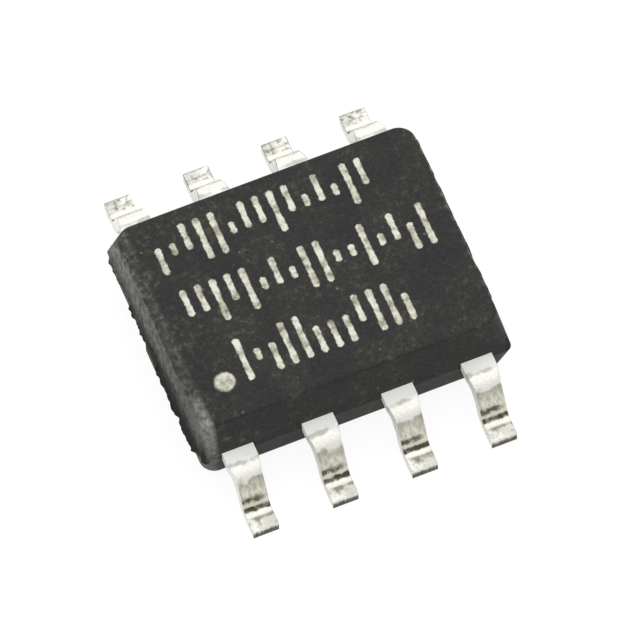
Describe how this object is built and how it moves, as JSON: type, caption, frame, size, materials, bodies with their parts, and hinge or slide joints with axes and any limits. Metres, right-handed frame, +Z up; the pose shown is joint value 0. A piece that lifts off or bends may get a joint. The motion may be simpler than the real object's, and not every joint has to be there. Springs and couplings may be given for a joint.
{
  "type": "small-outline integrated circuit",
  "caption": "Small-outline surface-mount controller chip: a black moulded body with drafted walls, a pin-one dot and a row of gull-wing leads along each long side.",
  "frame": {"origin": "on the seating plane, under the middle of the moulded body", "axes": "+Z up, away from the board; +X along the lead rows; leads 1 to 4 on the -Y side, counted from -X, and leads 5 to 8 on the +Y side, counted from +X"},
  "size_m": [0.005, 0.006, 0.0016],
  "materials": {
    "epoxy_moulding": "matt black silica-filled epoxy, as moulded",
    "tin_plating": "matt tin plating on copper alloy",
    "copper_sheet": "bare copper-alloy sheet, cut at the tie bars",
    "die_adhesive": "cured silver-filled adhesive",
    "silicon": "passivated silicon",
    "gold_wire": "drawn gold wire"
  },
  "bodies": {
    "root": {"mould_body": "epoxy_moulding", "lead_1": "tin_plating", "lead_2": "tin_plating", "lead_3": "tin_plating", "lead_4": "tin_plating", "lead_5": "tin_plating", "lead_6": "tin_plating", "lead_7": "tin_plating", "lead_8": "tin_plating", "die_paddle": "copper_sheet", "die_attach": "die_adhesive", "silicon_die": "silicon", "bond_wire_1": "gold_wire", "bond_wire_2": "gold_wire", "bond_wire_3": "gold_wire", "bond_wire_4": "gold_wire", "bond_wire_5": "gold_wire", "bond_wire_6": "gold_wire", "bond_wire_7": "gold_wire", "bond_wire_8": "gold_wire"}
  },
  "joints": []
}
